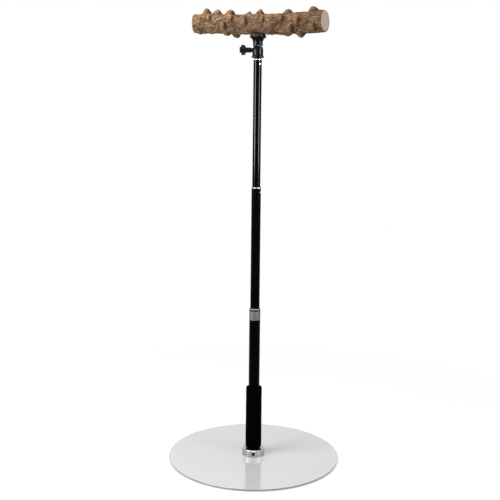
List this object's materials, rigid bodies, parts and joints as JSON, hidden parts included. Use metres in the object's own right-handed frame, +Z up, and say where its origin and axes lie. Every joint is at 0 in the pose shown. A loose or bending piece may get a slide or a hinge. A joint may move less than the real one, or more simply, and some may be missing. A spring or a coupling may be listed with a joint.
{
  "type": "parrot play stand",
  "caption": "Tabletop bird stand: round steel plate, telescopic pole with foam grip, ball head with lock knob and a knobbly natural branch perch.",
  "frame": {"origin": "on the floor, on the axis of the pole and of the round plate", "axes": "+Z up along the pole, +X along the branch towards its cut end"},
  "size_m": [0.4059, 0.406, 1.0564],
  "materials": {
    "white_gloss_paint": "gloss white coat with a faint orange peel",
    "black_rubber": "matte",
    "nickel_plated_steel": "satin nickel plate",
    "zinc_plated_steel": "bright zinc plate",
    "black_oxide_steel": "black oxide",
    "plain_aluminium": "as turned",
    "black_gloss_tube": "gloss black anodised tube",
    "bright_aluminium": "bright turned",
    "polished_chrome": "polished",
    "black_foam": "closed cell foam",
    "silver_foil": "silver film",
    "white_nylon": "moulded nylon",
    "black_head_paint": "satin black, fine texture",
    "natural_bark": "rough bark with pale cut ends",
    "plain_brass": "turned",
    "black_knob_plastic": "moulded, fine grain"
  },
  "bodies": {
    "base": {"base_plate": "white_gloss_paint", "base_pads": "black_rubber", "pole_collar": "nickel_plated_steel", "collar_screws": "zinc_plated_steel", "collar_set_screw": "black_oxide_steel", "foot_plug": "plain_aluminium", "lower_tube": "black_gloss_tube", "lower_mouth_ring": "bright_aluminium", "lower_ring_rivet": "polished_chrome", "foam_grip": "black_foam", "silver_band": "silver_foil"},
    "middle_lock": {"middle_lock_shoe": "white_nylon"},
    "middle_section": {"middle_tube": "black_gloss_tube", "middle_mouth_ring": "bright_aluminium", "middle_ring_rivet": "polished_chrome", "middle_lock_spindle": "plain_aluminium"},
    "upper_lock": {"upper_lock_shoe": "white_nylon"},
    "upper_section": {"upper_tube": "black_gloss_tube", "upper_mouth_ring": "bright_aluminium", "upper_ring_rivet": "polished_chrome", "upper_lock_spindle": "plain_aluminium"},
    "inner_lock": {"inner_lock_shoe": "white_nylon"},
    "inner_section": {"inner_tube": "black_gloss_tube", "inner_lock_spindle": "plain_aluminium", "head_plug": "plain_aluminium", "head_pin": "zinc_plated_steel", "head_foot": "black_head_paint", "head_grub_screw": "polished_chrome", "head_housing": "black_head_paint", "brake_shoe": "white_nylon"},
    "ball_seat": {"ball_seat": "white_nylon"},
    "ball": {"ball_stem": "polished_chrome", "stem_collar": "black_head_paint", "perch_stud": "zinc_plated_steel"},
    "platform": {"platform_disc": "black_head_paint", "platform_pad": "black_rubber", "branch_perch": "natural_bark", "perch_insert": "plain_brass"},
    "lock_knob": {"lock_knob": "black_knob_plastic", "lock_screw": "zinc_plated_steel", "knob_cap": "polished_chrome"}
  },
  "joints": [
    {"name": "middle_slide", "type": "slide", "parent": "base", "child": "middle_lock", "axis": [0, 0, 1], "range_m": [-0.268, 0]},
    {"name": "middle_twist", "type": "hinge", "parent": "middle_lock", "child": "middle_section", "pos_m": [0, 0, 0.9589], "axis": [0, 0, 1], "range_deg": [-120, 0]},
    {"name": "upper_slide", "type": "slide", "parent": "middle_section", "child": "upper_lock", "axis": [0, 0, 1], "range_m": [-0.272, 0]},
    {"name": "upper_twist", "type": "hinge", "parent": "upper_lock", "child": "upper_section", "pos_m": [0, 0, 0.9589], "axis": [0, 0, 1], "range_deg": [-120, 0]},
    {"name": "inner_slide", "type": "slide", "parent": "upper_section", "child": "inner_lock", "axis": [0, 0, 1], "range_m": [0, 0.259]},
    {"name": "inner_twist", "type": "hinge", "parent": "inner_lock", "child": "inner_section", "pos_m": [0, 0, 0.9589], "axis": [0, 0, 1], "range_deg": [-120, 0]},
    {"name": "ball_pan", "type": "hinge", "parent": "inner_section", "child": "ball_seat", "pos_m": [0, 0, 0.9589], "axis": [0, 0, 1], "continuous": true},
    {"name": "ball_tilt", "type": "hinge", "parent": "ball_seat", "child": "ball", "pos_m": [0, 0, 0.9589], "axis": [0, 1, 0], "range_deg": [-20, 20]},
    {"name": "perch_swivel", "type": "hinge", "parent": "ball", "child": "platform", "pos_m": [0, 0, 0.9589], "axis": [0, 0, 1], "continuous": true},
    {"name": "lock_knob_turn", "type": "hinge", "parent": "inner_section", "child": "lock_knob", "pos_m": [0, 0, 0.9589], "axis": [-0.866, -0.5, 0], "range_deg": [-270, 0]}
  ]
}
